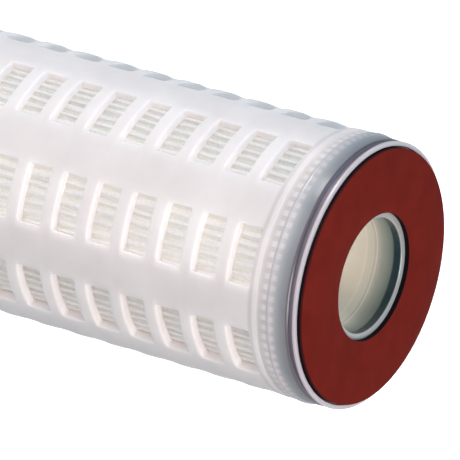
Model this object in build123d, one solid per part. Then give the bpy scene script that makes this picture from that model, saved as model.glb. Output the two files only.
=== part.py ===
from build123d import *
import math
import os

# A double open end pleated filter cartridge, nominal ten inch, in millimetres.
# It stands on its lower gasket: Z = 0 is the floor, and +Z is the axis of the cartridge.

# Whole cartridge
overall_length = 254.0

# Gaskets, one bonded to the face of each end cap, set in from its rim and back from its bore
gasket_thickness = 1.4
gasket_rim_margin = 1.5
gasket_bore_margin = 1.6

# End caps, from the gasket's seat inwards along the axis
cap_bore = 29.6
cap_lip_depth = 2.3
cap_lip_height = 0.3
flange_inset = 0.25
flange_thickness = 0.8
groove_depth = 1.1
groove_width = 2.0
collar_length = 5.3
collar_proud = 0.25

# Outer cage, a moulded tube with rows of windows. It is drawn with flats, two across a window
# and two between windows, that stay within 0.25 of round and keep the mesh light.
cage_diameter = 69.0
cage_wall = 2.5
window_rows = 8
window_width = 15.0
window_length = 7.2
window_pitch = 10.4
end_land = 4.6

# Inner core, a moulded tube with slots that the pleats lean on
core_wall = 2.2
slot_rows = 4
slot_width = 6.0
slot_length = 36.0
slot_pitch = 44.0
slot_end_land = 6.0

# Pleated medium, one sheet folded into a ring between core and cage
pleat_count = 80
sheet_thickness = 0.6
pleat_clearance = 0.1

# Heights at the upper end. The lower end is its mirror image about the middle.
middle = overall_length / 2
cap_face = overall_length - gasket_thickness
flange_back = cap_face - flange_thickness
groove_back = flange_back - groove_width
cap_back = groove_back - collar_length
low_back = overall_length - cap_back

# Radii that several pieces share
cage_radius = cage_diameter / 2
cage_bore_radius = cage_radius - cage_wall
flange_radius = cage_radius - flange_inset
bore_radius = cap_bore / 2
core_bore_radius = bore_radius + cap_lip_height
core_radius = core_bore_radius + core_wall


def turned(points):
    """Solid swept round the axis by a closed outline of radius and height points."""
    outline = Polyline(*points, close=True)
    return revolve(make_face(Plane.XZ * outline), Axis.Z)


def tube(radius, bore_radius, low, high):
    """Plain round tube between two heights."""
    return turned([(bore_radius, low), (radius, low), (radius, high), (bore_radius, high)])


def gasket():
    """Flat silicone ring on the cap's face."""
    rim = flange_radius - gasket_rim_margin
    hole = bore_radius + gasket_bore_margin
    return tube(rim, hole, cap_face, overall_length)


def end_cap():
    """Cap with a flange and a groove, and a collar that covers the weld on the cage's end."""
    groove_radius = flange_radius - groove_depth
    collar_radius = cage_radius + collar_proud
    lip_back = cap_face - cap_lip_depth
    return turned(
        [
            (bore_radius, cap_face),
            (flange_radius, cap_face),
            (flange_radius, flange_back),
            (groove_radius, flange_back),
            (groove_radius, groove_back),
            (collar_radius, groove_back),
            (collar_radius, cap_back),
            (core_bore_radius, cap_back),
            (core_bore_radius, lip_back),
            (bore_radius, lip_back),
        ]
    )


def window_cutters(rows, width, length, pitch, land, reach):
    """Boxes that cut rows of openings, as many to a row as fit between the plain end lands."""
    span = cap_back - low_back - 2 * land
    count = 1 + math.floor((span - length) / pitch + 0.001)
    lowest = middle - pitch * (count - 1) / 2
    box = Box(reach, width, length, align=(Align.MIN, Align.CENTER, Align.CENTER))
    return [
        Rot(0, 0, 360 / rows * row) * Pos(0, 0, lowest + pitch * place) * box
        for row in range(rows)
        for place in range(count)
    ]


def window_edge(radius):
    """Angle from the middle of a window to its side, at a radius."""
    return math.degrees(math.asin(window_width / 2 / radius))


def flat_sided(radius):
    """Round outline drawn with flats that meet at each window's sides and middle."""
    edge = window_edge(radius)
    row_angle = 360 / window_rows
    return make_face(
        Polyline(
            *[
                Vector(radius, 0).rotate(Axis.Z, row_angle * row + turn)
                for row in range(window_rows)
                for turn in (-edge, 0, edge, row_angle / 2)
            ],
            close=True,
        )
    )


def outer_cage():
    """Tube with rows of windows, welded between the caps."""
    section = flat_sided(cage_radius) - flat_sided(cage_bore_radius)
    body = Pos(0, 0, low_back) * extrude(section, cap_back - low_back)
    reach = cage_diameter
    return body - window_cutters(
        window_rows, window_width, window_length, window_pitch, end_land, reach
    )


def inner_core():
    """Slotted tube that lines the bore between the caps."""
    body = tube(core_radius, core_bore_radius, low_back, cap_back)
    reach = core_radius * 2
    return body - window_cutters(
        slot_rows, slot_width, slot_length, slot_pitch, slot_end_land, reach
    )


def pleat_ring(corners):
    """Closed outline that repeats one pleat's corners, each a radius, a sideways place and a turn."""
    pitch = 360 / pleat_count
    points = [
        Vector(radius, side).rotate(Axis.Z, pitch * (pleat + turn))
        for pleat in range(pleat_count)
        for radius, side, turn in corners
    ]
    return Wire.make_polygon(points, close=True)


def pleated_medium():
    """Sheet folded flat on itself at each tip and each fold, and welded into both caps.

    The tips lean on the cage's flats and the folds, half a pitch round from them, on the core.
    """
    tip = cage_bore_radius * math.cos(math.radians(window_edge(cage_bore_radius) / 2)) - pleat_clearance
    fold = core_radius + pleat_clearance
    sheet = sheet_thickness
    upstream = pleat_ring([(fold + sheet, 0, -0.5), (tip, -sheet, 0), (tip, sheet, 0)])
    downstream = pleat_ring([(fold, sheet, -0.5), (tip - sheet, 0, 0), (fold, -sheet, 0.5)])
    section = Face(upstream, [downstream])
    return Pos(0, 0, low_back) * extrude(section, cap_back - low_back)


def write(name, shape):
    export_step(shape, f"parts/{name}.step")


def write_both_ends(name, upper):
    """Writes the upper piece and its mirror image at the lower end."""
    write(f"top_{name}", upper)
    write(f"bottom_{name}", mirror(upper, about=Plane.XY.offset(middle)))


os.makedirs("parts", exist_ok=True)
write("outer_cage", outer_cage())
write("inner_core", inner_core())
write("pleated_medium", pleated_medium())
write_both_ends("end_cap", end_cap())
write_both_ends("gasket", gasket())
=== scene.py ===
import math

import bmesh
import bpy
from mathutils import Matrix, Vector, noise


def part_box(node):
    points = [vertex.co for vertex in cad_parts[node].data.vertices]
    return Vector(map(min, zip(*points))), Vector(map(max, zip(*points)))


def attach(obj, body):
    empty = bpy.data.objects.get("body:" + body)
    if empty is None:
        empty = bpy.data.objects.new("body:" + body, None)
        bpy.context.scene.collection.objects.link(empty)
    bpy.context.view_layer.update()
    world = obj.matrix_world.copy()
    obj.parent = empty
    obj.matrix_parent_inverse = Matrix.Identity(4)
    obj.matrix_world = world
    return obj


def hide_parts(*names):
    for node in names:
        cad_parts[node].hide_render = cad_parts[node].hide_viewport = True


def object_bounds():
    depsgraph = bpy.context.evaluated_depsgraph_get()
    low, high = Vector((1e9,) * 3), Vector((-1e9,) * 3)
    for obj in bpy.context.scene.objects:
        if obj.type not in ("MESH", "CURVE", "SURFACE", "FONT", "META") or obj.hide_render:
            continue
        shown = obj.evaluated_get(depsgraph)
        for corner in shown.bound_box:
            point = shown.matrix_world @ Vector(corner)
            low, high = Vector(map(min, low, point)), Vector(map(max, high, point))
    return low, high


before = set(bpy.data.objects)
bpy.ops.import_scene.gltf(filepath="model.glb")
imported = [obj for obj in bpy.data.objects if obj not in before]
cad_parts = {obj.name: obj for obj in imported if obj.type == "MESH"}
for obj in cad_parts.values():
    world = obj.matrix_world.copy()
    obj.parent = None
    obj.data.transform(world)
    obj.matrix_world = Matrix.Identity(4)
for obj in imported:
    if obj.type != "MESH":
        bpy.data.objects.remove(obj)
cad_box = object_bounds()

# Camera: a long lens well away from the cartridge, as a product photographer sets it up. It
# looks down on the upper end, 60 degrees off the cartridge's axis, and is rolled so that the
# axis points right and a little down, as it does in the photograph.
PICTURE_SIDE = 460
METRES_PER_PIXEL = 0.001 / 4.04
FACE_PIXEL = (374.3, 277.2)
VIEW_DISTANCE = 2.1
VIEW_OFF_AXIS = math.radians(60.35)
VIEW_TURN = math.radians(-96)
AXIS_DROP = math.radians(16.05)
FILM_WIDTH = 36
NEAR_CLIP = 0.05
FAR_CLIP = 20


def linked(name, data):
    """A new object at the origin that shows a mesh, a lamp or a camera."""
    made = bpy.data.objects.new(name, data)
    bpy.context.scene.collection.objects.link(made)
    return made


up_axis = Vector((0, 0, 1))
outward = Vector((math.cos(VIEW_TURN), math.sin(VIEW_TURN), 0))
to_camera = outward * math.sin(VIEW_OFF_AXIS) + up_axis * math.cos(VIEW_OFF_AXIS)
along = up_axis * math.sin(VIEW_OFF_AXIS) - outward * math.cos(VIEW_OFF_AXIS)
across = to_camera.cross(along)
right = along * math.cos(AXIS_DROP) + across * math.sin(AXIS_DROP)
upward = across * math.cos(AXIS_DROP) - along * math.sin(AXIS_DROP)
pixels_right = PICTURE_SIDE / 2 - FACE_PIXEL[0]
pixels_up = FACE_PIXEL[1] - PICTURE_SIDE / 2
face_centre = Vector((0, 0, cad_box[1].z))
aim = face_centre + (right * pixels_right + upward * pixels_up) * METRES_PER_PIXEL

camera_data = bpy.data.cameras.new("camera")
camera_data.sensor_width = FILM_WIDTH
camera_data.lens = FILM_WIDTH * VIEW_DISTANCE / (PICTURE_SIDE * METRES_PER_PIXEL)
camera_data.clip_start = NEAR_CLIP
camera_data.clip_end = FAR_CLIP
camera = linked("camera", camera_data)
camera_turn = Matrix((right, upward, to_camera)).transposed().to_4x4()
camera.matrix_world = Matrix.Translation(aim + to_camera * VIEW_DISTANCE) @ camera_turn
bpy.context.scene.camera = camera


# Outer cage: one injection moulding of natural polypropylene, a tube with eight rows of
# windows whose edges are softly rounded. Its plain ends are welded into the caps.
WINDOW_ROWS = 8
WINDOWS_IN_ROW = 22
WINDOW_PITCH = 0.0104
WINDOW_HALF_WIDTH = 0.0075
WINDOW_HALF_LENGTH = 0.00338
WINDOW_SHIFT = -0.0005
WINDOW_CORNER = 0.0006
CAGE_WALL = 0.0026
EDGE_ROUND = 0.00028
MOULD_LINE_DEPTH = 0.00012
MOULD_LINE_WIDTH = 0.0004
# Points along a window's long and short side, and rings between its edge and the cell's border
# on the outside and the inside of the wall, as shares of the way.
WIDTH_POINTS = 7
LENGTH_POINTS = 3
OUTSIDE_RINGS = (0, 0.34, 0.67)
INSIDE_RINGS = (0.5, 1)
# How far the middle of a rounded corner lies in from each side, as a share of its radius.
ROUND_CUT = 1 - math.sqrt(0.5)
WELD_DISTANCE = 2e-6
CAGE_SHARP_ANGLE = 50

CAGE_SHADES = ((0.80, 0.75, 0.74), (0.86, 0.81, 0.80))
# By depth below the cap's face: painted shade that darkens the cage towards the cap's bead, the
# plain land, and a painted shade along the mould line.
CAGE_PAINTED_SHADE_BY_DEPTH = [
    (0.0070, (0.76, 0.74, 0.74)),
    (0.0085, (0.80, 0.78, 0.77)),
    (0.0100, (0.87, 0.85, 0.84)),
    (0.0108, (1, 1, 1)),
    (0.0122, (1, 1, 1)),
    (0.0126, (0.86, 0.85, 0.86)),
    (0.0132, (0.86, 0.85, 0.86)),
    (0.0138, (1, 1, 1)),
]
# Painted shade: the cage is a little darker and bluer between the rows of windows, where less
# light comes through.
BETWEEN_ROWS_PAINTED_SHADE = (0.94, 0.945, 0.95)
BETWEEN_ROWS_SLOPE = -0.9
BETWEEN_ROWS_START = 0.35
# The ends of the pleats show through the melted plastic as soft bars, one a pleat.
PLEATS = 80
BAR_SLOPE = 1.6
BAR_START = 0.5
BAR_FADE_IN = 1400.0
BAR_FADE_OUT = 700.0
CAGE_BARS = (0.0080, 0.0104)
CAGE_BAR_SHADE = (0.93, 0.91, 0.91)

cage_low, cage_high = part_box("outer_cage")
middle_z = (cage_high.z + cage_low.z) / 2
cage_radius = cage_high.y
cage_bore_radius = cage_radius - CAGE_WALL
cap_face_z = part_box("top_end_cap")[1].z


def finished(name, mesh, material, node, sharp_angle):
    """Dresses a piece, puts it in the place of its CAD node, and rides it on the body."""
    mesh.materials.clear()
    mesh.materials.append(material)
    mesh.shade_smooth()
    mesh.set_sharp_from_angle(angle=math.radians(sharp_angle))
    piece = linked(name, mesh)
    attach(piece, "root")
    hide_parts(node)
    return piece


def round_spot(radius, turn, height):
    """Point at a radius and a turn round the axis, and at a height."""
    return (radius * math.cos(turn), radius * math.sin(turn), height)


def mesh_of(name, body):
    """The mesh of a body, which is given up."""
    mesh = bpy.data.meshes.new(name)
    body.to_mesh(mesh)
    body.free()
    return mesh


def clean_mesh(name, body):
    """Merges what touches, turns the faces outwards and gives the mesh."""
    bmesh.ops.remove_doubles(body, verts=body.verts, dist=WELD_DISTANCE)
    bmesh.ops.recalc_face_normals(body, faces=body.faces)
    return mesh_of(name, body)


def spread(reach, count):
    """Even places from one side of the middle to the other."""
    return [reach * (2 * step / (count - 1) - 1) for step in range(count)]


def window_outline(grow, radius):
    """Turn and height of 24 points round a window, moved out from its edge, at a radius."""
    half_width = WINDOW_HALF_WIDTH + grow
    half_length = WINDOW_HALF_LENGTH + grow
    corner = WINDOW_CORNER + grow
    cut = corner * ROUND_CUT
    half = [(side, -half_length) for side in spread(half_width - corner, WIDTH_POINTS)]
    half.append((half_width - cut, cut - half_length))
    half += [(half_width, height) for height in spread(half_length - corner, LENGTH_POINTS)]
    half.append((half_width - cut, half_length - cut))
    outline = half + [(-side, -height) for side, height in half]
    return [(math.asin(side / radius), height) for side, height in outline]


def cell_border(radius):
    """The 24 points of a cell's border that face the points round its window."""
    half_turn = math.pi / WINDOW_ROWS
    half_pitch = WINDOW_PITCH / 2
    outline = window_outline(0, radius)
    first_beside = WIDTH_POINTS + 1
    below = [(turn, -half_pitch) for turn, _ in outline[:WIDTH_POINTS]]
    beside = [
        (half_turn, height) for _, height in outline[first_beside : first_beside + LENGTH_POINTS]
    ]
    half = [*below, (half_turn, -half_pitch), *beside, (half_turn, half_pitch)]
    return half + [(-turn, -height) for turn, height in half]


def partway(near, far, share, radius):
    """Ring of points a share of the way from one outline to another, at a radius."""
    return [
        (radius, a[0] + (b[0] - a[0]) * share, a[1] + (b[1] - a[1]) * share)
        for a, b in zip(near, far)
    ]


def window_cell(radius, inner_radius):
    """One window of a moulded tube with the wall round it, in the middle of the tube."""
    slope = EDGE_ROUND * ROUND_CUT
    edge_rings = (
        (radius, radius, EDGE_ROUND),
        (radius, radius - slope, slope),
        (radius, radius - EDGE_ROUND, 0),
        (inner_radius, inner_radius + EDGE_ROUND, 0),
        (inner_radius, inner_radius, EDGE_ROUND),
    )
    outer_border, inner_border = cell_border(radius), cell_border(inner_radius)
    outer_lip = window_outline(EDGE_ROUND, radius)
    inner_lip = window_outline(EDGE_ROUND, inner_radius)
    rings = [partway(outer_border, outer_lip, share, radius) for share in OUTSIDE_RINGS]
    for wall, place, grow in edge_rings:
        rings.append([(place, *spot) for spot in window_outline(grow, wall)])
    rings += [partway(inner_lip, inner_border, share, inner_radius) for share in INSIDE_RINGS]
    cell = bmesh.new()
    made = [[cell.verts.new(round_spot(*spot)) for spot in ring] for ring in rings]
    for near, far in zip(made, made[1:]):
        for index in range(len(near)):
            after = (index + 1) % len(near)
            cell.faces.new((near[index], near[after], far[after], far[index]))
    return mesh_of("window_cell", cell)


def maths(tree, operation, *values):
    """Output of a Math node in a tree, whose values are numbers or other nodes' outputs."""
    node = tree.nodes.new("ShaderNodeMath")
    node.operation = operation
    for socket, value in zip(node.inputs, values):
        if isinstance(value, (int, float)):
            socket.default_value = value
        else:
            tree.links.new(value, socket)
    return node.outputs[0]


def copies_round_axis():
    """Node tree that sets copies of a mesh in rings round the axis, and welds their edges."""
    tree = bpy.data.node_groups.new("copies_round_axis", "GeometryNodeTree")
    for name, kind in (
        ("Geometry", "Geometry"),
        ("Columns", "Int"),
        ("Rings", "Int"),
        ("Pitch", "Float"),
        ("Middle", "Float"),
        ("Material", "Material"),
    ):
        tree.interface.new_socket(name, in_out="INPUT", socket_type=f"NodeSocket{kind}")
    tree.interface.new_socket("Geometry", in_out="OUTPUT", socket_type="NodeSocketGeometry")
    given = tree.nodes.new("NodeGroupInput").outputs
    result = tree.nodes.new("NodeGroupOutput")

    index = tree.nodes.new("GeometryNodeInputIndex").outputs[0]
    columns, rings = given["Columns"], given["Rings"]
    column = maths(tree, "MODULO", index, columns)
    ring = maths(tree, "FLOOR", maths(tree, "DIVIDE", index, columns))
    turn = maths(tree, "DIVIDE", maths(tree, "MULTIPLY", column, 2 * math.pi), columns)
    half_count = maths(tree, "DIVIDE", maths(tree, "SUBTRACT", rings, 1), 2)
    from_middle = maths(tree, "SUBTRACT", ring, half_count)
    height = maths(tree, "MULTIPLY", from_middle, given["Pitch"])
    place = tree.nodes.new("ShaderNodeCombineXYZ")
    tree.links.new(maths(tree, "ADD", height, given["Middle"]), place.inputs["Z"])
    rotation = tree.nodes.new("ShaderNodeCombineXYZ")
    tree.links.new(turn, rotation.inputs["Z"])
    points = tree.nodes.new("GeometryNodePoints")
    tree.links.new(maths(tree, "MULTIPLY", columns, rings), points.inputs["Count"])
    tree.links.new(place.outputs[0], points.inputs["Position"])
    copy = tree.nodes.new("GeometryNodeInstanceOnPoints")
    tree.links.new(points.outputs[0], copy.inputs["Points"])
    tree.links.new(given["Geometry"], copy.inputs["Instance"])
    tree.links.new(rotation.outputs[0], copy.inputs["Rotation"])
    real = tree.nodes.new("GeometryNodeRealizeInstances")
    tree.links.new(copy.outputs[0], real.inputs[0])
    weld = tree.nodes.new("GeometryNodeMergeByDistance")
    weld.inputs["Distance"].default_value = WELD_DISTANCE
    tree.links.new(real.outputs[0], weld.inputs[0])
    dress = tree.nodes.new("GeometryNodeSetMaterial")
    tree.links.new(weld.outputs[0], dress.inputs["Geometry"])
    tree.links.new(given["Material"], dress.inputs["Material"])
    tree.links.new(dress.outputs[0], result.inputs[0])
    return tree


def grown(mesh, tree, **values):
    """Body of what a node tree makes of a mesh, with the tree's named inputs set."""
    seed = linked("seed", mesh)
    modifier = seed.modifiers.new("nodes", "NODES")
    modifier.node_group = tree
    for item in tree.interface.items_tree:
        if item.in_out == "INPUT" and item.name in values:
            modifier[item.identifier] = values[item.name]
    depsgraph = bpy.context.evaluated_depsgraph_get()
    made = bpy.data.meshes.new_from_object(seed.evaluated_get(depsgraph))
    bpy.data.objects.remove(seed)
    body = bmesh.new()
    body.from_mesh(made)
    return body


def lower_turns(radius):
    """Turns of the points along a cell's lower side, from corner to corner, at a radius."""
    border = cell_border(radius)
    return [turn for turn, _ in border[-1:] + border[: WIDTH_POINTS + 1]]


def add_plain_ends(body):
    """Adds the wall past the last windows at both ends, with its fine mould line."""
    end_reach = cage_high.z - middle_z
    for side in (1, -1):
        cell_reach = WINDOW_PITCH * WINDOWS_IN_ROW / 2 + side * WINDOW_SHIFT
        line_z = cell_reach + MOULD_LINE_WIDTH
        wall = [
            (cage_radius, cell_reach),
            (cage_radius, line_z),
            (cage_radius - MOULD_LINE_DEPTH, line_z + MOULD_LINE_WIDTH / 2),
            (cage_radius, line_z + MOULD_LINE_WIDTH),
            (cage_radius, end_reach),
            (cage_bore_radius, end_reach),
            (cage_bore_radius, cell_reach),
        ]
        for near, far in zip(wall, wall[1:]):
            near_turns, far_turns = lower_turns(near[0]), lower_turns(far[0])
            for row in range(WINDOW_ROWS):
                row_turn = 2 * math.pi * row / WINDOW_ROWS
                for step in range(WIDTH_POINTS + 1):
                    corners = (
                        (near, near_turns[step]),
                        (near, near_turns[step + 1]),
                        (far, far_turns[step + 1]),
                        (far, far_turns[step]),
                    )
                    body.faces.new(
                        [
                            body.verts.new(round_spot(r, row_turn + turn, middle_z + side * reach))
                            for (r, reach), turn in corners
                        ]
                    )


def node_material(name):
    """A new material with its shader, and a function that adds and sets nodes."""
    material = bpy.data.materials.new(name)
    material.use_nodes = True
    tree = material.node_tree
    shader = tree.nodes["Principled BSDF"]

    def add(kind, links=None, **settings):
        node = tree.nodes.new(kind)
        for key, value in settings.items():
            node.inputs[key.replace("_", " ")].default_value = value
        for socket, source in (links or {}).items():
            tree.links.new(source, node.inputs[socket])
        return node

    return material, tree, shader, add


def banded(tree, distance, stops):
    """Colour that changes along a distance, through stops of a distance and a colour."""
    start, reach = stops[0][0], stops[-1][0] - stops[0][0]
    ramp = tree.nodes.new("ShaderNodeValToRGB")
    share = maths(tree, "DIVIDE", maths(tree, "SUBTRACT", distance, start), reach)
    tree.links.new(share, ramp.inputs["Fac"])
    elements = ramp.color_ramp.elements
    elements[0].color = (*stops[0][1], 1)
    elements[1].color = (*stops[-1][1], 1)
    for stop, colour in stops[1:-1]:
        elements.new((stop - start) / reach).color = (*colour, 1)
    return ramp.outputs["Color"]


def blended(tree, kind, factor, first, second):
    """Colour that mixes two colours, each a value or another node's output."""
    node = tree.nodes.new("ShaderNodeMix")
    node.data_type = "RGBA"
    node.blend_type = kind
    # The Mix node has a set of sockets for each kind of value. These are the ones for colours.
    sockets = [node.inputs[index] for index in (0, 6, 7)]
    for socket, value in zip(sockets, (factor, first, second)):
        if isinstance(value, bpy.types.NodeSocket):
            tree.links.new(value, socket)
        elif isinstance(value, (int, float)):
            socket.default_value = value
        else:
            socket.default_value = (*value, 1)
    return node.outputs[2]


def mottled(add, pattern, start, stop, shades):
    """Colour that drifts between two shades with a noise, between two of its values."""
    ramp = add("ShaderNodeValToRGB", {"Fac": pattern.outputs["Fac"]})
    for element, position, shade in zip(ramp.color_ramp.elements, (start, stop), shades):
        element.position = position
        element.color = (*shade, 1)
    return ramp.outputs["Color"]


def relief(tree, add, shader, pattern, strength, distance):
    """Fine unevenness of a surface, from a noise."""
    bump = add(
        "ShaderNodeBump", {"Height": pattern.outputs["Fac"]}, Strength=strength, Distance=distance
    )
    tree.links.new(bump.outputs["Normal"], shader.inputs["Normal"])


def milky(shader, weight, radius, scale):
    """Light that spreads inside a milky plastic or a felt."""
    shader.inputs["Subsurface Weight"].default_value = weight
    shader.inputs["Subsurface Radius"].default_value = radius
    shader.inputs["Subsurface Scale"].default_value = scale


def let_light_in(tree, shader, share):
    """Lets a share of each lamp's light through a face, as milky plastic and felt do."""
    path = tree.nodes.new("ShaderNodeLightPath")
    clear = tree.nodes.new("ShaderNodeBsdfTransparent")
    clear.inputs["Color"].default_value = (share, share, share, 1)
    both = tree.nodes.new("ShaderNodeMixShader")
    tree.links.new(path.outputs["Is Shadow Ray"], both.inputs[0])
    tree.links.new(shader.outputs[0], both.inputs[1])
    tree.links.new(clear.outputs[0], both.inputs[2])
    tree.links.new(both.outputs[0], tree.nodes["Material Output"].inputs["Surface"])


def round_places(tree, place, face_z):
    """Radius, depth below the nearer end's face, and turn, of a point on a turned piece."""
    parts = tree.nodes.new("ShaderNodeSeparateXYZ")
    tree.links.new(place, parts.inputs[0])
    x, y, z = parts.outputs
    squares = maths(tree, "ADD", maths(tree, "MULTIPLY", x, x), maths(tree, "MULTIPLY", y, y))
    from_middle = maths(tree, "ABSOLUTE", maths(tree, "SUBTRACT", z, middle_z))
    depth = maths(tree, "SUBTRACT", face_z - middle_z, from_middle)
    return maths(tree, "SQRT", squares), depth, maths(tree, "ARCTAN2", y, x)


def pleat_ends(tree, turn, depth, reach):
    """How much the pleats' ends show through the plastic, from one depth to another."""
    near, far = reach
    bars = maths(tree, "SINE", maths(tree, "MULTIPLY", turn, PLEATS))
    bars = maths(tree, "MULTIPLY_ADD", bars, BAR_SLOPE, BAR_START)
    fade_in = maths(tree, "MULTIPLY", maths(tree, "SUBTRACT", depth, near), BAR_FADE_IN)
    fade_out = maths(tree, "MULTIPLY", maths(tree, "SUBTRACT", far, depth), BAR_FADE_OUT)
    shown = maths(tree, "MINIMUM", bars, maths(tree, "MINIMUM", fade_in, fade_out))
    return maths(tree, "MAXIMUM", maths(tree, "MINIMUM", shown, 1.0), 0.0)


def cage_plastic():
    """Natural polypropylene: milky, satin, faintly clouded by the way that it flowed."""
    material, tree, shader, add = node_material("natural_polypropylene")
    place = add("ShaderNodeTexCoord").outputs["Object"]
    _, depth, turn = round_places(tree, place, cap_face_z)
    cloud = add("ShaderNodeTexNoise", {"Vector": place}, Scale=70.0, Detail=3.0, Roughness=0.55)
    tint = mottled(add, cloud, 0.3, 0.7, CAGE_SHADES)
    # Painted shade near the cap's bead and along the mould line.
    plain = blended(tree, "MULTIPLY", 1.0, tint, banded(tree, depth, CAGE_PAINTED_SHADE_BY_DEPTH))
    # Painted shade between the rows of windows.
    rows = maths(tree, "COSINE", maths(tree, "MULTIPLY", turn, WINDOW_ROWS))
    between = maths(tree, "MULTIPLY_ADD", rows, BETWEEN_ROWS_SLOPE, BETWEEN_ROWS_START)
    between = maths(tree, "MAXIMUM", between, 0.0)
    plain = blended(tree, "MULTIPLY", between, plain, BETWEEN_ROWS_PAINTED_SHADE)
    ends = pleat_ends(tree, turn, depth, CAGE_BARS)
    ends = maths(tree, "MULTIPLY", ends, cloud.outputs["Fac"])
    shown = blended(tree, "MIX", ends, plain, CAGE_BAR_SHADE)
    tree.links.new(shown, shader.inputs["Base Color"])
    grain = add("ShaderNodeTexNoise", {"Vector": place}, Scale=900.0, Detail=2.0)
    gloss = add("ShaderNodeMapRange", {"Value": grain.outputs["Fac"]}, To_Min=0.36, To_Max=0.46)
    tree.links.new(gloss.outputs["Result"], shader.inputs["Roughness"])
    relief(tree, add, shader, cloud, strength=0.12, distance=0.0003)
    milky(shader, weight=1.0, radius=(1.0, 0.96, 0.94), scale=0.003)
    shader.inputs["Specular IOR Level"].default_value = 0.15
    let_light_in(tree, shader, 0.94)
    return material


polypropylene = cage_plastic()
copies = copies_round_axis()
cage_body = grown(
    window_cell(cage_radius, cage_bore_radius),
    copies,
    Columns=WINDOW_ROWS,
    Rings=WINDOWS_IN_ROW,
    Pitch=WINDOW_PITCH,
    Middle=middle_z + WINDOW_SHIFT,
    Material=polypropylene,
)
add_plain_ends(cage_body)
finished(
    "outer_cage_moulding",
    clean_mesh("outer_cage_moulding", cage_body),
    polypropylene,
    "outer_cage",
    CAGE_SHARP_ANGLE,
)


# Pleated medium: a soft nonwoven sheet of fine polypropylene fibre, folded into eighty pleats
# that stand between cage and core. The legs of neighbouring pleats press on each other up to a
# millimetre below the rounded tips, and the tips lean a little this way and that.
SHEET = 0.0006
SHEET_ROWS = 47
TIP_ARC_STEPS = 4
GROOVE_DEPTH = 0.0009
LEG_GAP = 0.00004
SHOULDER_GAP = 0.00028
FOLD_GAP = 0.0001
FOLD_LENGTH = 0.0018
FOLD_RISE = 0.00024
FOLD_SPREAD = 0.00051
SHEET_SHARP_ANGLE = 60
# The tips lean by a noise: how far, over what length of a tip, and how unlike its neighbours.
LEAN = 0.0007
LEAN_LENGTH = 0.010
LEAN_CHANGES = 11

SHEET_SHADES = ((0.70, 0.685, 0.67), (0.75, 0.735, 0.72))
# By distance in from the tips: a painted shade, a little olive, down between the pleats.
SHEET_PAINTED_SHADE_BY_DROP = [
    (0.0018, (1.0, 1.0, 0.92)),
    (0.0008, (1.0, 1.0, 0.96)),
    (0.0002, (1, 1, 1)),
]

pack_low, pack_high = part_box("pleated_medium")
tip_radius = pack_high.x
core_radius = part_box("inner_core")[1].x
fold_radius = core_radius + FOLD_GAP
sheet_length = pack_high.z - pack_low.z


def beside_plane(radius, gap):
    """Point at a radius and a gap from the plane between a pleat and the next."""
    half_turn = math.pi / PLEATS
    return (
        radius * math.cos(half_turn) + gap * math.sin(half_turn),
        radius * math.sin(half_turn) - gap * math.cos(half_turn),
    )


def pleat_cell():
    """One pleat from fold to fold, the full length of the sheet, about the middle."""
    tip_centre = tip_radius - SHEET
    leg_top = tip_radius - GROOVE_DEPTH
    angles = [math.pi / 2 * (1 - step / TIP_ARC_STEPS) for step in range(TIP_ARC_STEPS + 1)]
    half_upstream = [
        beside_plane(fold_radius + SHEET, 0),
        beside_plane(fold_radius + FOLD_LENGTH, LEG_GAP),
        beside_plane(leg_top, LEG_GAP),
        beside_plane((leg_top + tip_centre) / 2, SHOULDER_GAP),
        *[(tip_centre + SHEET * math.cos(angle), SHEET * math.sin(angle)) for angle in angles],
    ]
    half_downstream = [
        beside_plane(fold_radius, 0),
        beside_plane(fold_radius + FOLD_RISE, FOLD_SPREAD),
        beside_plane(fold_radius + FOLD_LENGTH, LEG_GAP + SHEET),
        beside_plane(leg_top, LEG_GAP + SHEET),
        (tip_centre, 0),
    ]
    cell = bmesh.new()
    heights = [sheet_length * (row / SHEET_ROWS - 0.5) for row in range(SHEET_ROWS + 1)]
    sides = []
    for half in (half_upstream, half_downstream):
        outline = half + [(x, -y) for x, y in reversed(half[:-1])]
        lines = [[cell.verts.new((x, y, z)) for x, y in outline] for z in heights]
        sides.append(lines)
        for low, high in zip(lines, lines[1:]):
            for index in range(len(low) - 1):
                cell.faces.new((low[index], low[index + 1], high[index + 1], high[index]))
    # The sheet's cut ends: quads up each leg, and one face over its half of the tip.
    tip = len(half_upstream) - 1
    leg = len(half_downstream) - 2
    for end in (0, -1):
        outer, inner = sides[0][end], sides[1][end]
        for far, near in ((outer, inner), (outer[::-1], inner[::-1])):
            for index in range(leg):
                cell.faces.new((far[index], far[index + 1], near[index + 1], near[index]))
            cell.faces.new([*far[leg : tip + 1], near[leg + 1], near[leg]])
    bmesh.ops.recalc_face_normals(cell, faces=cell.faces)
    return mesh_of("pleat_cell", cell)


def lean_pleats(body):
    """Turns each point of the sheet a little about the axis, most at the tips."""
    for vert in body.verts:
        radius = math.hypot(vert.co.x, vert.co.y)
        share = max(0, (radius - core_radius) / (tip_radius - core_radius)) ** 2
        around = Vector((vert.co.x, vert.co.y, 0)) / radius * LEAN_CHANGES
        spot = Vector((around.x, around.y, vert.co.z / LEAN_LENGTH))
        turn = noise.noise(spot) * LEAN * share / radius
        vert.co = Matrix.Rotation(turn, 3, "Z") @ vert.co


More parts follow.
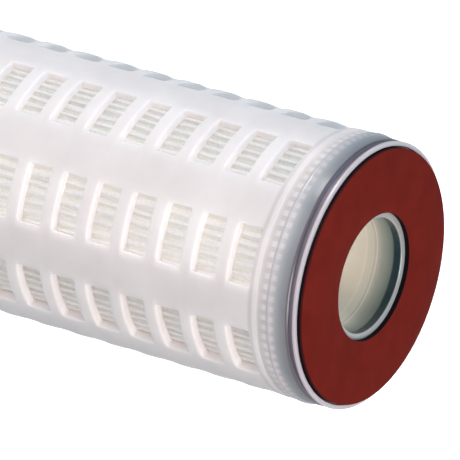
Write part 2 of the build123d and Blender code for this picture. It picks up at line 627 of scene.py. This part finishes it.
def fibre_sheet():
    """White fibre felt with a fine mottle, and a painted olive shade down between the pleats."""
    material, tree, shader, add = node_material("white_fibre_sheet")
    place = add("ShaderNodeTexCoord").outputs["Object"]
    radius, _, _ = round_places(tree, place, cap_face_z)
    fibre = add("ShaderNodeTexNoise", {"Vector": place}, Scale=1400.0, Detail=4.0)
    tint = mottled(add, fibre, 0.35, 0.65, SHEET_SHADES)
    stops = [(tip_radius - drop, colour) for drop, colour in SHEET_PAINTED_SHADE_BY_DROP]
    shown = blended(tree, "MULTIPLY", 1.0, tint, banded(tree, radius, stops))
    tree.links.new(shown, shader.inputs["Base Color"])
    relief(tree, add, shader, fibre, strength=0.4, distance=0.0002)
    shader.inputs["Roughness"].default_value = 0.9
    shader.inputs["Specular IOR Level"].default_value = 0.2
    milky(shader, weight=0.7, radius=(1.0, 1.0, 0.96), scale=0.002)
    let_light_in(tree, shader, 0.9)
    return material


sheet_white = fibre_sheet()
sheet_body = grown(
    pleat_cell(), copies, Columns=PLEATS, Rings=1, Pitch=0.0, Middle=middle_z, Material=sheet_white
)
lean_pleats(sheet_body)
medium = finished(
    "pleated_sheet",
    clean_mesh("pleated_sheet", sheet_body),
    sheet_white,
    "pleated_medium",
    SHEET_SHARP_ANGLE,
)


# Inner core: a slotted moulded tube that the folds lean on. It lines the bore, and the CAD
# solid keeps its shape here with a plastic of its own.
# Painted warm light: the pale tan stands for warm light that comes through the pleats.
CORE_TINTS_AND_PAINTED_WARM_LIGHT = ((0.93, 0.87, 0.78), (0.97, 0.92, 0.83))
# By depth below the cap's face: painted shade near the cap's back, a painted highlight ring, then
# the open bore.
CORE_PAINTED_SHADE_AND_HIGHLIGHT = [
    (0.0078, (0.76, 0.79, 0.77)),
    (0.0100, (0.86, 0.87, 0.85)),
    (0.0104, (1, 1, 1)),
    (0.0108, (0.92, 0.92, 0.90)),
    (0.0150, (1, 1, 1)),
]


def core_plastic():
    """Milky plastic with a painted warm tan light, painted shade near the cap and a painted
    highlight ring.
    """
    material, tree, shader, add = node_material("core_polypropylene")
    place = add("ShaderNodeTexCoord").outputs["Object"]
    _, depth, _ = round_places(tree, place, cap_face_z)
    cloud = add("ShaderNodeTexNoise", {"Vector": place}, Scale=60.0, Detail=3.0)
    tint = mottled(add, cloud, 0.3, 0.7, CORE_TINTS_AND_PAINTED_WARM_LIGHT)
    shown = blended(tree, "MULTIPLY", 1.0, tint, banded(tree, depth, CORE_PAINTED_SHADE_AND_HIGHLIGHT))
    tree.links.new(shown, shader.inputs["Base Color"])
    shader.inputs["Roughness"].default_value = 0.4
    milky(shader, weight=0.5, radius=(1.0, 0.95, 0.85), scale=0.002)
    let_light_in(tree, shader, 0.86)
    return material


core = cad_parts["inner_core"]
core.data.materials.clear()
core.data.materials.append(core_plastic())


# End caps: moulded discs of the same plastic, melted onto the ends of cage, sheet and core.
# The melt shows as a glossy collar with a rounded bead, grey with painted shade, and the sheet's
# ends show in it.
# A narrow moat in the face rings the gasket's foot, painted near-black as shadow.
CAP_BORE_RADIUS = 0.0148
FLANGE_THICKNESS = 0.0008
FLANGE_INSET = 0.0005
GROOVE_WIDTH = 0.0020
GROOVE_RADIUS_DROP = 0.0011
LIP_DEPTH = 0.0023
LIP_HEIGHT = 0.0003
BEAD_LENGTH = 0.0011
COLLAR_FRONT_DROP = 0.0005
MOAT_DEPTH = 0.0003
MOAT_WIDTH = 0.0004
EASE = 0.00015
ROUND_STEPS = 192
CAP_SHARP_ANGLE = 35
# Radius between the faces of the bore and those of the outside.
BORE_SIDE = 0.0200

MELT_SHADES = ((0.90, 0.90, 0.92), (1.0, 0.98, 0.98))
# By depth below the cap's face: flange, the groove painted dark as shadow, then the collar painted
# darker at its front and lighter towards its bead, with a painted highlight on the bead and
# painted shade in the crease behind it.
MELT_OUTSIDE_PAINTED_LIGHT_AND_SHADE = [
    (0.0000, (0.66, 0.60, 0.62)),
    (0.0008, (0.60, 0.54, 0.56)),
    (0.0010, (0.34, 0.29, 0.31)),
    (0.0026, (0.10, 0.08, 0.12)),
    (0.0030, (0.25, 0.25, 0.26)),
    (0.0045, (0.29, 0.32, 0.34)),
    (0.0058, (0.40, 0.40, 0.41)),
    (0.0068, (0.52, 0.50, 0.51)),
    (0.0078, (0.62, 0.59, 0.60)),
    (0.0081, (0.42, 0.41, 0.43)),
]
# By depth in the bore: the lip's edge, its side painted near-black as shadow, then the wider bore
# behind it, painted from grey-green shade to warm tan light, with a painted highlight ring.
MELT_INSIDE_PAINTED_LIGHT_AND_SHADE = [
    (0.0000, (0.46, 0.46, 0.44)),
    (0.0002, (0.26, 0.29, 0.28)),
    (0.0004, (0.008, 0.032, 0.048)),
    (0.0020, (0.012, 0.040, 0.055)),
    (0.0024, (0.10, 0.14, 0.14)),
    (0.0027, (0.20, 0.26, 0.23)),
    (0.0055, (0.42, 0.45, 0.39)),
    (0.0070, (0.66, 0.64, 0.56)),
    (0.0073, (0.92, 0.87, 0.78)),
    (0.0076, (0.68, 0.66, 0.58)),
    (0.0081, (0.70, 0.68, 0.60)),
]
# Painted shadow: the moat round the gasket's foot is near-black.
MOAT_PAINTED_SHADOW = (0.004, 0.004, 0.010)
CAP_BARS = (0.0058, 0.0082)
CAP_BAR_SHADE = (0.84, 0.82, 0.83)
CAP_BAR_STRENGTH = 0.25

gasket_low, gasket_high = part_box("top_gasket")
gasket_rim = gasket_high.x


def turned(name, profile):
    """Mesh of a closed profile of radius and height points carried round the axis."""
    body = bmesh.new()
    turns = [2 * math.pi * step / ROUND_STEPS for step in range(ROUND_STEPS)]
    rings = [
        [body.verts.new(round_spot(r, turn, height)) for r, height in profile] for turn in turns
    ]
    for ring, after in zip(rings, rings[1:] + rings[:1]):
        for index in range(len(profile)):
            beside = (index + 1) % len(profile)
            body.faces.new((ring[index], after[index], after[beside], ring[beside]))
    return clean_mesh(name, body)


def mirrored(profile):
    """The same outline at the other end of the cartridge."""
    return [(r, 2 * middle_z - height) for r, height in profile]


def cap_profile():
    """Closed outline of the upper cap, as radius and height, from the bore's lip outwards."""
    low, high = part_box("top_end_cap")
    rim, face, back = high.x, high.z, low.z
    flange = rim - FLANGE_INSET
    groove = flange - GROOVE_RADIUS_DROP
    front = rim - COLLAR_FRONT_DROP
    lip = CAP_BORE_RADIUS
    bore = lip + LIP_HEIGHT
    flange_back = face - FLANGE_THICKNESS
    groove_back = flange_back - GROOVE_WIDTH
    return [
        (lip, face - LIP_DEPTH + EASE),
        (lip, face - EASE),
        (lip + EASE, face),
        (gasket_rim - EASE, face),
        (gasket_rim, face - MOAT_DEPTH),
        (gasket_rim + MOAT_WIDTH - EASE, face - MOAT_DEPTH),
        (gasket_rim + MOAT_WIDTH, face),
        (flange - EASE, face),
        (flange - EASE * 0.3, face - EASE * 0.3),
        (flange, face - EASE),
        (flange, flange_back + EASE),
        (flange - EASE, flange_back),
        (groove + EASE, flange_back),
        (groove, flange_back - EASE),
        (groove, groove_back + EASE * 2),
        (groove + EASE * 2, groove_back),
        (front - EASE * 2, groove_back),
        (front - EASE * 0.6, groove_back - EASE * 0.6),
        (front, groove_back - EASE * 2),
        (rim - COLLAR_FRONT_DROP * 0.8, back + BEAD_LENGTH * 1.3),
        (rim - COLLAR_FRONT_DROP * 0.35, back + BEAD_LENGTH),
        (rim - EASE * 0.3, back + BEAD_LENGTH * 0.7),
        (rim, back + BEAD_LENGTH * 0.45),
        (rim - EASE * 0.5, back + EASE),
        (rim - EASE * 1.6, back),
        (bore, back),
        (bore, face - LIP_DEPTH),
        (lip + EASE, face - LIP_DEPTH),
    ]


def cap_plastic():
    """Glossy melted plastic with painted shade and highlights by depth, with the sheet's ends
    showing in it.
    """
    material, tree, shader, add = node_material("melted_polypropylene")
    place = add("ShaderNodeTexCoord").outputs["Object"]
    radius, depth, turn = round_places(tree, place, cap_face_z)
    cloud = add("ShaderNodeTexNoise", {"Vector": place}, Scale=90.0, Detail=4.0)
    tint = mottled(add, cloud, 0.3, 0.7, MELT_SHADES)
    outside = banded(tree, depth, MELT_OUTSIDE_PAINTED_LIGHT_AND_SHADE)
    inside = banded(tree, depth, MELT_INSIDE_PAINTED_LIGHT_AND_SHADE)
    in_bore = maths(tree, "LESS_THAN", radius, BORE_SIDE)
    by_place = blended(tree, "MIX", in_bore, outside, inside)
    # The moat is painted near-black as shadow.
    past_bore = maths(tree, "GREATER_THAN", radius, BORE_SIDE)
    in_moat = maths(tree, "LESS_THAN", radius, gasket_rim + MOAT_WIDTH)
    in_moat = maths(tree, "MULTIPLY", in_moat, past_bore)
    on_face = maths(tree, "LESS_THAN", depth, FLANGE_THICKNESS - EASE)
    in_moat = maths(tree, "MULTIPLY", in_moat, on_face)
    by_place = blended(tree, "MIX", in_moat, by_place, MOAT_PAINTED_SHADOW)
    plain = blended(tree, "MULTIPLY", 1.0, tint, by_place)
    ends = maths(tree, "MULTIPLY", pleat_ends(tree, turn, depth, CAP_BARS), past_bore)
    ends = maths(tree, "MULTIPLY", ends, CAP_BAR_STRENGTH)
    shown = blended(tree, "MIX", ends, plain, CAP_BAR_SHADE)
    tree.links.new(shown, shader.inputs["Base Color"])
    shader.inputs["Roughness"].default_value = 0.26
    milky(shader, weight=0.25, radius=(1.0, 1.0, 1.0), scale=0.0006)
    let_light_in(tree, shader, 0.7)
    return material


melt = cap_plastic()
upper_cap = cap_profile()
for end, profile in (("top", upper_cap), ("bottom", mirrored(upper_cap))):
    cap_mesh = turned(f"{end}_cap_moulding", profile)
    finished(
        f"{end}_cap_moulding",
        cap_mesh,
        melt,
        f"{end}_end_cap",
        CAP_SHARP_ANGLE,
    )


# Gaskets: flat rings moulded in brick red silicone, bonded to the caps' faces. Their edges
# are crisp, with only a hair of rounding that catches the light.
GASKET_HOLE_RADIUS = 0.0164
GASKET_EASE = 0.00012
GASKET_SHARP_ANGLE = 60

SILICONE_SHADES = ((0.146, 0.0114, 0.0070), (0.180, 0.0148, 0.0092))
# By depth below the gasket's face: the face, its side painted darker as shade, and its foot
# painted near-black as shadow.
FOOT_PAINTED_SHADOW = (0.02, 0.20, 0.60)
SILICONE_PAINTED_SHADE_BY_DEPTH = [
    (0.0000, (1, 1, 1)),
    (0.0002, (1, 1, 1)),
    (0.0003, (0.45, 0.65, 1.0)),
    (0.0007, (0.38, 0.60, 1.0)),
    (0.0009, FOOT_PAINTED_SHADOW),
    (0.0014, FOOT_PAINTED_SHADOW),
]


def silicone():
    """Dull red silicone with a dusty bloom and a fine tooth, with painted shade on its sides and
    painted shadow at its foot.
    """
    material, tree, shader, add = node_material("red_silicone")
    place = add("ShaderNodeTexCoord").outputs["Object"]
    radius, depth, _ = round_places(tree, place, gasket_high.z)
    dust = add("ShaderNodeTexNoise", {"Vector": place}, Scale=160.0, Detail=5.0)
    tint = mottled(add, dust, 0.35, 0.75, SILICONE_SHADES)
    by_depth = banded(tree, depth, SILICONE_PAINTED_SHADE_BY_DEPTH)
    # The side of the hole is painted near-black as shadow all the way up.
    in_hole = maths(tree, "LESS_THAN", radius, BORE_SIDE)
    below_face = maths(tree, "GREATER_THAN", depth, GASKET_EASE)
    in_hole = maths(tree, "MULTIPLY", in_hole, below_face)
    by_depth = blended(tree, "MIX", in_hole, by_depth, FOOT_PAINTED_SHADOW)
    shown = blended(tree, "MULTIPLY", 1.0, tint, by_depth)
    tree.links.new(shown, shader.inputs["Base Color"])
    tooth = add("ShaderNodeTexNoise", {"Vector": place}, Scale=2500.0, Detail=2.0)
    relief(tree, add, shader, tooth, strength=0.15, distance=0.0001)
    shader.inputs["Roughness"].default_value = 0.8
    shader.inputs["Specular IOR Level"].default_value = 0.08
    return material


def gasket_profile():
    """Closed outline of the upper gasket, as radius and height, from its hole outwards."""
    hole, low, high = GASKET_HOLE_RADIUS, gasket_low.z, gasket_high.z
    return [
        (hole, low),
        (hole, high - GASKET_EASE),
        (hole + GASKET_EASE * 0.3, high - GASKET_EASE * 0.3),
        (hole + GASKET_EASE, high),
        (gasket_rim - GASKET_EASE, high),
        (gasket_rim - GASKET_EASE * 0.3, high - GASKET_EASE * 0.3),
        (gasket_rim, high - GASKET_EASE),
        (gasket_rim, low),
    ]


red = silicone()
upper_gasket = gasket_profile()
for end, profile in (("top", upper_gasket), ("bottom", mirrored(upper_gasket))):
    ring_mesh = turned(f"{end}_gasket_ring", profile)
    finished(
        f"{end}_gasket_ring", ring_mesh, red, f"{end}_gasket", GASKET_SHARP_ANGLE
    )


# Floor: the white board that the cartridge stands on. It is pale to the light, so that it
# lights the cartridge's underside, and white to the camera. It lies a hair below the gasket,
# because two faces in one plane flicker.
FLOOR_DROP = 0.00005
FLOOR_REACH = 6
FLOOR_SHADE = (0.56, 0.61, 0.63, 1)
FLOOR_GLOW = 0.8


def floor_paint():
    """Pale floor that the camera sees as white."""
    material, tree, shader, add = node_material("pale_floor")
    shader.inputs["Base Color"].default_value = FLOOR_SHADE
    shader.inputs["Roughness"].default_value = 0.9
    rays = add("ShaderNodeLightPath").outputs
    seen = maths(tree, "MAXIMUM", rays["Is Camera Ray"], rays["Is Transmission Ray"])
    shader.inputs["Emission Color"].default_value = (1, 1, 1, 1)
    tree.links.new(maths(tree, "MULTIPLY", seen, FLOOR_GLOW), shader.inputs["Emission Strength"])
    return material


floor_body = bmesh.new()
bmesh.ops.create_grid(floor_body, x_segments=1, y_segments=1, size=FLOOR_REACH)
bmesh.ops.translate(floor_body, verts=floor_body.verts, vec=(0, 0, -FLOOR_DROP))
floor = linked("floor", mesh_of("floor", floor_body))
floor.data.materials.append(floor_paint())


# Light: a near lamp, low beside the upper half, draws the bright band along the cage. A warm
# lamp in front of the end lights the gasket and the windows' sides, a fill stands by the
# camera, a bluish lamp above and a small one behind, and a pale world does the rest.
LIT_HEIGHT = 0.2
WARM = (1.0, 0.945, 0.935)
SKY_BLUE = (0.25, 0.68, 1.0)
WORLD_TO_LIGHT = (0.80, 0.92, 1.0)
WORLD_TO_CAMERA = (1.0, 1.0, 1.0)
WORLD_STRENGTH = 0.16


def lamp(name, turn_up, rise, distance, size, watts, colour):
    """A square soft lamp that points at the cartridge, placed by its distance and two angles.

    Its turn goes from the camera's side towards the top of the picture, and its rise from level.
    """
    turn, lift = math.radians(turn_up), math.radians(rise)
    level = outward * math.cos(turn) + across * math.sin(turn)
    from_target = (level * math.cos(lift) + up_axis * math.sin(lift)) * distance
    data = bpy.data.lights.new(name, "AREA")
    data.shape = "SQUARE"
    data.size = size
    data.energy = watts
    data.color = colour
    made = linked(name, data)
    made.location = Vector((0, 0, LIT_HEIGHT)) + from_target
    made.rotation_euler = (-from_target).to_track_quat("-Z", "Y").to_euler()


lamp("upper_lamp", turn_up=58, rise=-10, distance=0.7, size=0.2, watts=2.3, colour=WARM)
lamp("front_lamp", turn_up=-46, rise=58, distance=1.5, size=0.8, watts=18.0, colour=WARM)
lamp("fill_lamp", turn_up=18, rise=15, distance=1.5, size=0.9, watts=5.0, colour=WARM)
lamp("high_lamp", turn_up=88, rise=52, distance=1.5, size=0.9, watts=5.0, colour=SKY_BLUE)
lamp("back_lamp", turn_up=180, rise=-10, distance=0.7, size=0.2, watts=2.0, colour=WARM)

world = bpy.data.worlds.new("pale_world")
bpy.context.scene.world = world
world.use_nodes = True
world_tree = world.node_tree
world_shader = world_tree.nodes["Background"]
rays = world_tree.nodes.new("ShaderNodeLightPath").outputs
seen = maths(world_tree, "MAXIMUM", rays["Is Camera Ray"], rays["Is Glossy Ray"])
seen = maths(world_tree, "MAXIMUM", seen, rays["Is Transmission Ray"])
strength = maths(world_tree, "MULTIPLY_ADD", seen, 1.0 - WORLD_STRENGTH, WORLD_STRENGTH)
world_tree.links.new(strength, world_shader.inputs["Strength"])
world_colour = blended(world_tree, "MIX", seen, WORLD_TO_LIGHT, WORLD_TO_CAMERA)
world_tree.links.new(world_colour, world_shader.inputs["Color"])

bpy.context.scene.view_settings.view_transform = "Standard"
# Light bounces many times between the white pleats, which go dark where it is cut off early.
bpy.context.scene.cycles.diffuse_bounces = 12
bpy.context.scene.cycles.max_bounces = 16
